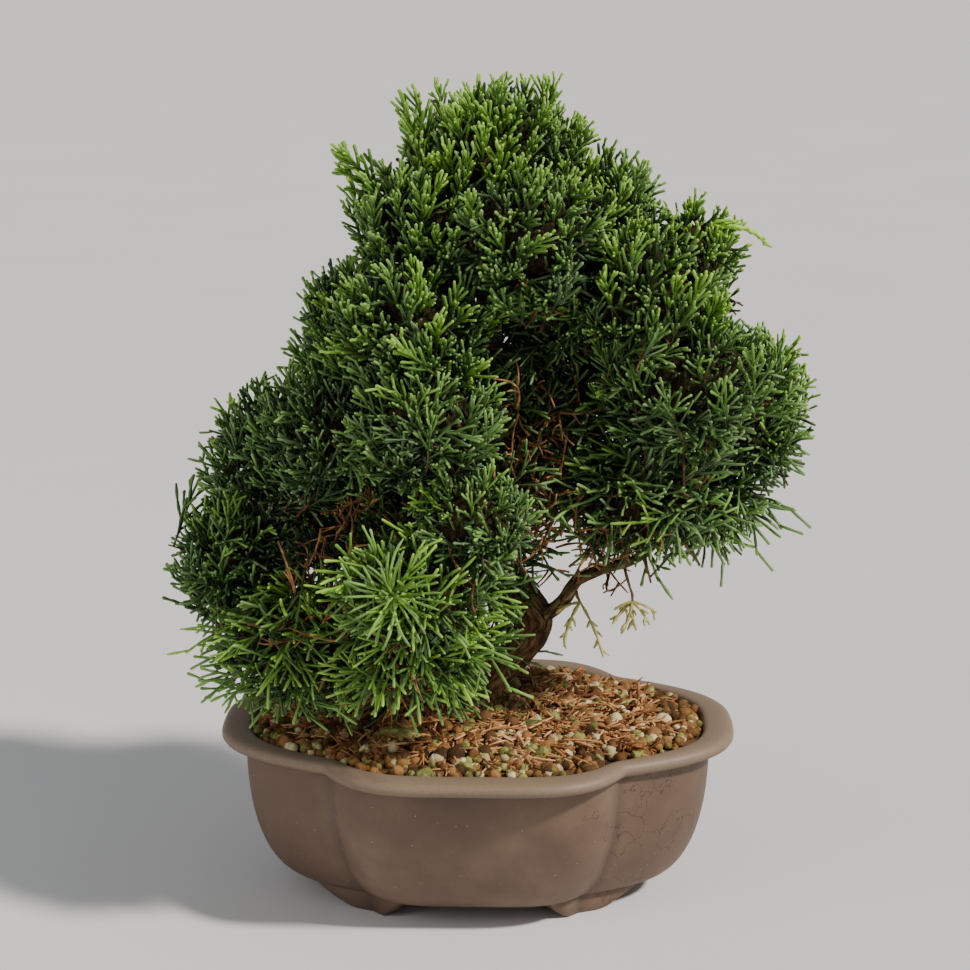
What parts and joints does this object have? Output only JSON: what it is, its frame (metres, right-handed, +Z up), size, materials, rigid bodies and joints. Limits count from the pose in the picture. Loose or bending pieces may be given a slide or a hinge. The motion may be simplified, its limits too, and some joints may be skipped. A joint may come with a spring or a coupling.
{
  "type": "potted bonsai tree",
  "caption": "Informal-upright juniper bonsai with dense scale-leaf pads on a curved trunk, in a four-lobed unglazed stoneware pot on bracket feet.",
  "frame": {"origin": "centre of the plant's footprint, on the surface that the pot stands on", "axes": "+Z up along the trunk to the crown; +X to the right along the pot's long side; -Y towards the front"},
  "size_m": [0.2549, 0.1756, 0.3301],
  "materials": {
    "stoneware": "satin unglazed",
    "mesh_plastic": "satin",
    "wire": "copper coloured satin",
    "soil": "matte granular",
    "pumice": "matte",
    "akadama": "matte",
    "moss": "matte",
    "bark": "rough flaking",
    "foliage": "satin",
    "young_shoot": "satin",
    "faded_twig": "matte"
  },
  "bodies": {
    "root": {"akadama_clod_back": "akadama", "akadama_clod_right": "akadama", "branch_back": "bark", "branch_back_left": "bark", "branch_back_low": "bark", "branch_back_right": "bark", "branch_back_upper": "bark", "branch_crown_left": "bark", "branch_crown_right": "bark", "branch_front_left": "bark", "branch_left_front": "bark", "branch_low_front": "bark", "branch_low_left": "bark", "branch_low_right": "bark", "branch_mid_front": "bark", "branch_mid_left": "bark", "branch_right_mid": "bark", "branch_skirt": "bark", "branch_upper_left": "bark", "branch_upper_right": "bark", "drain_screen_left": "mesh_plastic", "drain_screen_right": "mesh_plastic", "faded_twig_left": "faded_twig", "faded_twig_right": "faded_twig", "foliage_back": "foliage", "foliage_back_left": "foliage", "foliage_back_low": "foliage", "foliage_back_right": "foliage", "foliage_back_upper": "foliage", "foliage_crown": "foliage", "foliage_crown_left": "foliage", "foliage_crown_right": "foliage", "foliage_front_skirt": "foliage", "foliage_front_tuft": "foliage", "foliage_left": "foliage", "foliage_left_front": "foliage", "foliage_left_low": "foliage", "foliage_left_outer": "foliage", "foliage_left_shoulder": "foliage", "foliage_left_skirt": "foliage", "foliage_mid_tuft": "foliage", "foliage_right": "foliage", "foliage_right_end": "foliage", "foliage_right_low": "foliage", "foliage_right_under": "foliage", "foliage_shoulder": "foliage", "foliage_shoulder_tip": "foliage", "foliage_upper_front": "foliage", "foliage_upper_left": "foliage", "moss_patch_left": "moss", "moss_patch_right": "moss", "pot": "stoneware", "pumice_stone_left": "pumice", "pumice_stone_right": "pumice", "screen_clip_left": "wire", "screen_clip_right": "wire", "soil": "soil", "tie_wire": "wire", "trunk": "bark", "young_shoot": "young_shoot"}
  },
  "joints": []
}
